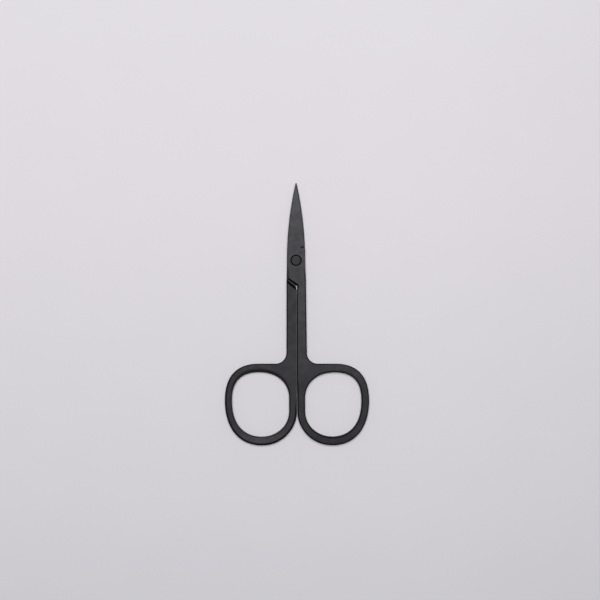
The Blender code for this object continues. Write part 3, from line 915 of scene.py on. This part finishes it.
class Nodes:
    """A material's or world's node tree, built one node at a time."""

    def __init__(self, owner):
        owner.use_nodes = True
        self.tree = owner.node_tree
        self.tree.nodes.clear()

    def add(self, kind, inputs=None, **settings):
        """A shader node with its settings. Inputs are links from other sockets, or values."""
        node = self.tree.nodes.new("ShaderNode" + kind)
        for name, value in settings.items():
            setattr(node, name, value)
        for name, value in (inputs or {}).items():
            self.put(node.inputs[name], value)
        return node

    def put(self, socket, value):
        """Link a socket to another one, or set its value."""
        if isinstance(value, bpy.types.NodeSocket):
            self.tree.links.new(value, socket)
        else:
            socket.default_value = value

    def spread(self, value, span, low, high):
        """A value mapped smoothly from a span to low and high."""
        inputs = {"Value": value, "From Min": span[0], "From Max": span[1], "To Min": low, "To Max": high}
        return self.add("MapRange", inputs, interpolation_type="SMOOTHSTEP").outputs[0]

    def math(self, operation, one, two):
        """One operation on two values."""
        return self.add("Math", {0: one, 1: two}, operation=operation).outputs[0]

    def blend(self, factor, one, two, mode="MIX"):
        """Two colours blended by a factor. A colour is a link, or three numbers."""
        node = self.add("Mix", data_type="RGBA", blend_type=mode)
        self.put(node.inputs[0], factor)
        for index, color in ((6, one), (7, two)):
            given = isinstance(color, bpy.types.NodeSocket)
            self.put(node.inputs[index], color if given else (*color, 1.0))
        return node.outputs[2]

    def toned(self, color, tone):
        """A colour made lighter or darker by a value."""
        gray = self.add("CombineXYZ", {0: tone, 1: tone, 2: tone}).outputs[0]
        return self.blend(1.0, color, gray, "MULTIPLY")

    def ramp(self, value, span, stops):
        """A colour that changes evenly over a span of values. A stop is a share of the span
        and a colour."""
        inputs = {"Value": value, "From Min": span[0], "From Max": span[1]}
        node = self.add("ValToRGB", {0: self.add("MapRange", inputs).outputs[0]})
        elements = node.color_ramp.elements
        elements[0].position = stops[0][0]
        elements[1].position = stops[-1][0]
        for position, _ in stops[1:-1]:
            elements.new(position)
        for element, (_, color) in zip(elements, stops):
            element.color = (*color, 1.0)
        return node.outputs[0]

    def noise(self, coordinates, scale, detail, roughness=0.5):
        """Fractal noise on a set of coordinates."""
        inputs = {"Vector": coordinates, "Scale": scale, "Detail": detail, "Roughness": roughness}
        return self.add("TexNoise", inputs).outputs[0]


def wear(nodes, place, on_blade):
    """Where the coat has rubbed thin: in fine spots, and only on slanting surface. With z
    the upward part of the normal, |z| (1 - |z|) is 0 on flats and upright sides and most
    on the rims between them."""
    spots = nodes.spread(nodes.noise(place, *SPOTS), SPOT_SPAN, 0, 1)
    normal = nodes.add("NewGeometry").outputs["Normal"]
    upward = nodes.add("SeparateXYZ", {0: normal}).outputs[2]
    upward = nodes.math("ABSOLUTE", upward, 0.0)
    slanting = nodes.math("MULTIPLY", upward, nodes.math("SUBTRACT", 1.0, upward))
    spots = nodes.math("MULTIPLY", spots, nodes.spread(on_blade, (0, 1), *WEAR_SHARES))
    return nodes.math("MULTIPLY", spots, slanting)


def coated_steel(name, tones_and_light, finish):
    """Steel under a satin black coat. Tones and light are pairs of a place along Y and a
    share of the coat's colour there: a painted gradient of light makes the coat lighter
    towards the blades' tips than on the rings, together with the coat's own tone from place
    to place. It is mottled over a few millimetres, grained by the blasting and a little
    warmer or cooler from place to place, with fine lines across the blades. The shade
    attribute paints shade round the rims, on the ramp and in the rivet's seat from 0 to 1,
    and paints a highlight on a rim below 0."""
    material = bpy.data.materials.new(name)
    nodes = Nodes(material)
    place = nodes.add("TexCoord").outputs["Object"]
    along = nodes.add("SeparateXYZ", {0: place}).outputs[1]
    shade = nodes.add("Attribute", attribute_name="shade").outputs["Fac"]
    on_blade = nodes.spread(along, BLADE_FROM, 0.0, 1.0)
    mottle = nodes.noise(place, *MOTTLE)
    grain = nodes.noise(place, *GRAIN)
    waves = nodes.noise(place, *WAVES)
    stretched = nodes.add("Mapping", {0: place, 3: LINE_SCALES}).outputs[0]
    lines = nodes.math("MULTIPLY", nodes.noise(stretched, *LINES), on_blade)

    # The coat's colour along Y, with a painted gradient of light brighter towards the tips
    low, high = CAD_BOX[0][1], CAD_BOX[1][1]
    stops = [
        ((y - low) / (high - low), [part * tone for part in finish.coat_tint]) for y, tone in tones_and_light
    ]
    coat = nodes.ramp(along, (low, high), stops)
    cloud = nodes.spread(mottle, NOISE_SPAN, *MOTTLE_TONES)
    speckle = nodes.spread(grain, NOISE_SPAN, *GRAIN_TONES)
    coat = nodes.toned(coat, nodes.math("MULTIPLY", cloud, speckle))
    hue = nodes.spread(nodes.noise(place, *HUES), HUE_SPAN, 0, 1)
    coat = nodes.blend(1.0, coat, nodes.blend(hue, WARM_HUE, COOL_HUE), "MULTIPLY")
    # A painted highlight where the shade is below 0, and painted shade where it is above 0
    rubbed = nodes.blend(1.0, coat, (PAINTED_HIGHLIGHT_GAIN, PAINTED_HIGHLIGHT_GAIN, PAINTED_HIGHLIGHT_GAIN), "MULTIPLY")
    coat = nodes.blend(nodes.spread(shade, PAINTED_HIGHLIGHT_SPAN, 1, 0), coat, rubbed)
    coat = nodes.blend(nodes.spread(shade, PAINTED_SHADE_SPAN, 0, 1), coat, finish.rim_shade_tint)
    coat = nodes.blend(wear(nodes, place, on_blade), coat, finish.worn_tint)

    rough = [finish.roughness + drift for drift in MOTTLE_ROUGHNESS]
    rough = nodes.spread(mottle, NOISE_SPAN, *rough)
    rough = nodes.math("ADD", rough, nodes.spread(grain, NOISE_SPAN, *GRAIN_ROUGHNESS))
    shader = {"Base Color": coat, "Metallic": finish.metallic, "Roughness": rough}
    for height, distance in ((grain, GRAIN_HEIGHT), (lines, LINE_HEIGHT), (waves, WAVE_HEIGHT)):
        bump = {"Strength": 1.0, "Distance": distance, "Height": height}
        if "Normal" in shader:
            bump["Normal"] = shader["Normal"]
        shader["Normal"] = nodes.add("Bump", bump).outputs[0]
    shader = nodes.add("BsdfPrincipled", shader).outputs[0]
    nodes.add("OutputMaterial", {"Surface": shader})
    return material


def stand_in(name, shell, coat, tones_and_light, body, node):
    """Make a piece from its shell and let it stand for its node."""
    material = coated_steel(coat, tones_and_light, bpy.context.scene.scissor_finish)
    piece = mesh_piece(name, *shell, material)
    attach(piece, body)
    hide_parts(node)


class SCISSORS_OT_front_half(bpy.types.Operator):
    """Make the front half, with the upper blade and the right-hand ring"""

    bl_idname = "scissors.front_half"
    bl_label = "Front half"

    def execute(self, context):
        coat, slot = "front_blade_and_ring_coat", "front_half_black_steel"
        shell = half_shell(1)
        stand_in("front_blade_and_ring", shell, coat, FRONT_TONE_AND_LIGHT, "front", "front_half")
        return {"FINISHED"}


class SCISSORS_OT_rear_half(bpy.types.Operator):
    """Make the rear half, with the lower blade and the left-hand ring"""

    bl_idname = "scissors.rear_half"
    bl_label = "Rear half"

    def execute(self, context):
        coat, slot = "rear_blade_and_ring_coat", "rear_half_black_steel"
        shell = half_shell(-1)
        stand_in("rear_blade_and_ring", shell, coat, REAR_TONE_AND_LIGHT, "rear", "rear_half")
        return {"FINISHED"}


class SCISSORS_OT_rivet(bpy.types.Operator):
    """Make the rivet, whose heads lie flush in their seats"""

    bl_idname = "scissors.rivet"
    bl_label = "Rivet"

    def execute(self, context):
        coat, slot = "rivet_coat", "rivet_black_steel"
        shell = rivet_shell(context.scene.scissor_rivet)
        stand_in("rivet_with_heads", shell, coat, RIVET_TONES, "rear", "pivot_rivet")
        return {"FINISHED"}


def floor_material():
    """A plain pale floor with a painted falloff of light: its tone falls off towards the bottom and the
    right.
    """
    material = bpy.data.materials.new("pale_floor")
    nodes = Nodes(material)
    place = nodes.add("TexCoord").outputs["Object"]
    axes = nodes.add("SeparateXYZ", {0: place}).outputs
    mottle = nodes.spread(nodes.noise(place, *FLOOR_MOTTLE), FLOOR_MOTTLE_SPAN, *FLOOR_MOTTLE_TONES)
    # Painted shade towards the right, and a painted falloff of light along Y
    side = nodes.spread(axes[0], FLOOR_SIDE_SHADE_SPAN, 1.0, FLOOR_SIDE_SHADE)
    color = nodes.ramp(axes[1], FLOOR_SPAN, FLOOR_LIGHT_FALLOFF_STOPS)
    color = nodes.toned(color, nodes.math("MULTIPLY", mottle, side))
    inputs = {"Base Color": color, "Roughness": 0.9, "Specular IOR Level": 0.2}
    shader = nodes.add("BsdfPrincipled", inputs).outputs[0]
    nodes.add("OutputMaterial", {"Surface": shader})
    return material


def add_floor():
    """A wide level floor under the scissors."""
    reach = FLOOR_REACH
    mesh = bpy.data.meshes.new("floor")
    corners = [(-reach, -reach, 0), (reach, -reach, 0), (reach, reach, 0), (-reach, reach, 0)]
    mesh.from_pydata(corners, [], [(0, 1, 2, 3)])
    mesh.materials.append(floor_material())
    floor = linked("floor", mesh)
    floor.location.z = FRONT_LOW.z
    floor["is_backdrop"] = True


def add_light(stage):
    """A round soft box overhead."""
    light = bpy.data.lights.new("soft_box", "AREA")
    light.shape = "DISK"
    light.size = stage.key_size
    light.energy = stage.key_power
    key = linked("soft_box", light)
    key.location = KEY_PLACE
    aim = Vector(KEY_AIM) - key.location
    key.rotation_euler = aim.to_track_quat("-Z", "Y").to_euler()


def studio_world(stage):
    """A weak even light from all round, and a pale backdrop for what is seen past the
    floor or mirrored in the steel, lighter past the blades than towards the rings."""
    world = bpy.data.worlds.new("studio")
    nodes = Nodes(world)
    rays = nodes.add("LightPath").outputs
    seen = nodes.math("MAXIMUM", rays["Is Camera Ray"], rays["Is Glossy Ray"])
    seen = nodes.math("MAXIMUM", seen, rays["Is Transmission Ray"])
    towards = {0: nodes.add("TexCoord").outputs["Object"], 1: BACKDROP_WAY}
    towards = nodes.add("VectorMath", towards, operation="DOT_PRODUCT").outputs["Value"]
    tone = nodes.spread(towards, (-1.0, 1.0), stage.backdrop_low, stage.backdrop_high)
    strength = {"Value": seen, "To Min": stage.sky, "To Max": tone}
    strength = nodes.add("MapRange", strength).outputs[0]
    sky = nodes.add("Background", {"Color": SKY_COLOR, "Strength": strength})
    nodes.add("OutputWorld", {"Surface": sky.outputs[0]})
    return world


def add_camera(stage):
    """A camera that looks straight down."""
    camera = linked("camera", bpy.data.cameras.new("camera"))
    camera.data.lens = stage.lens
    camera.data.sensor_width = SENSOR_WIDTH
    camera.location = (*stage.view_point, THICKNESS + stage.view_height)
    return camera


class SCISSORS_OT_stage(bpy.types.Operator):
    """Make the floor, the light and the camera"""

    bl_idname = "scissors.stage"
    bl_label = "Stage"

    def execute(self, context):
        scene = context.scene
        add_floor()
        add_light(scene.scissor_stage)
        scene.world = studio_world(scene.scissor_stage)
        scene.camera = add_camera(scene.scissor_stage)
        scene.view_settings.view_transform = "Standard"
        return {"FINISHED"}


class SCISSORS_PT_panel(bpy.types.Panel):
    """Lists the pieces of the scissors with their sizes and finish."""

    bl_label = "Nail scissors"
    bl_idname = "SCISSORS_PT_panel"
    bl_space_type = "VIEW_3D"
    bl_region_type = "UI"
    bl_category = "Scissors"

    def draw(self, context):
        for operator in OPERATORS:
            self.layout.operator(operator.bl_idname)
        for label, name, group in GROUPS:
            box = self.layout.box()
            box.label(text=label)
            for setting in group.__annotations__:
                box.prop(getattr(context.scene, name), setting)


GROUPS = (
    ("Blades", "scissor_blade", ScissorBladeSizes),
    ("Shanks", "scissor_shank", ScissorShankSizes),
    ("Rings", "scissor_ring", ScissorRingSizes),
    ("Rivet", "scissor_rivet", ScissorRivetSizes),
    ("Finish", "scissor_finish", ScissorFinish),
    ("Stage", "scissor_stage", ScissorStage),
)
OPERATORS = (
    SCISSORS_OT_front_half,
    SCISSORS_OT_rear_half,
    SCISSORS_OT_rivet,
    SCISSORS_OT_stage,
)


def register():
    """Register the settings, the operators and the panel."""
    for _, name, group in GROUPS:
        bpy.utils.register_class(group)
        setattr(bpy.types.Scene, name, PointerProperty(type=group))
    for item in (*OPERATORS, SCISSORS_PT_panel):
        bpy.utils.register_class(item)


def unregister():
    """Remove what register added."""
    for item in (SCISSORS_PT_panel, *reversed(OPERATORS)):
        bpy.utils.unregister_class(item)
    for _, name, group in reversed(GROUPS):
        delattr(bpy.types.Scene, name)
        bpy.utils.unregister_class(group)


def main():
    register()
    bpy.ops.scissors.front_half()
    bpy.ops.scissors.rear_half()
    bpy.ops.scissors.rivet()
    bpy.ops.scissors.stage()
    boxes = {"cad": CAD_BOX, "visual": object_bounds()}
    boxes = {name: [list(corner) for corner in box] for name, box in boxes.items()}


if __name__ == "__main__":
    main()
